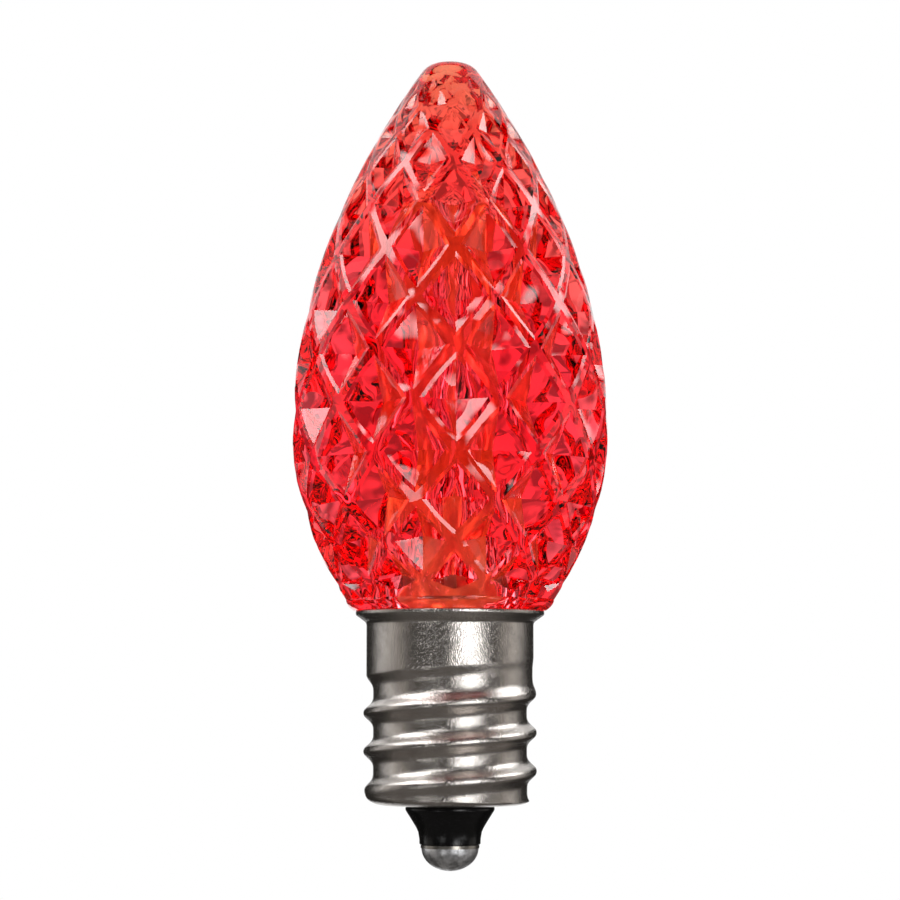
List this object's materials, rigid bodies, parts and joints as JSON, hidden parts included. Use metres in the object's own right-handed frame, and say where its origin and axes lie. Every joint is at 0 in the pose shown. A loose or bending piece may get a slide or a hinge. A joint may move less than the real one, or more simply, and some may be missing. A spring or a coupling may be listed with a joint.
{
  "type": "christmas light bulb",
  "caption": "Small red retrofit string-light bulb: a diamond-faceted clear lens over a rolled screw base with a centre contact.",
  "frame": {"origin": "lowest point of the centre contact, on the bulb's axis", "axes": "+Z along the axis towards the tip of the lens, -Y towards the viewer of the picture"},
  "size_m": [0.0212, 0.0212, 0.0545],
  "materials": {
    "red_lens": "clear red moulded plastic, polished",
    "nickel_shell": "satin nickel plate on rolled brass sheet",
    "black_insulator": "gloss black moulding",
    "tinned_brass": "tinned",
    "solder": "dull cast solder",
    "board": "white solder mask on glass-fibre board",
    "led_package": "white frame with a pale yellow window",
    "black_package": "matt black moulding",
    "chip_part": "glazed ceramic with tinned ends",
    "capacitor_body": "tan ceramic with tinned ends",
    "lead_wire": "tinned copper wire"
  },
  "bodies": {
    "root": {"lens": "red_lens", "screw_shell": "nickel_shell", "base_insulator": "black_insulator", "contact_eyelet": "tinned_brass", "solder_tip": "solder", "led_board": "board", "led_upper": "led_package", "led_middle": "led_package", "led_lower": "led_package", "bridge_rectifier": "black_package", "resistor_lower": "chip_part", "resistor_upper": "chip_part", "capacitor": "capacitor_body", "contact_lead": "lead_wire", "shell_lead": "lead_wire", "shell_solder": "solder"}
  },
  "joints": []
}
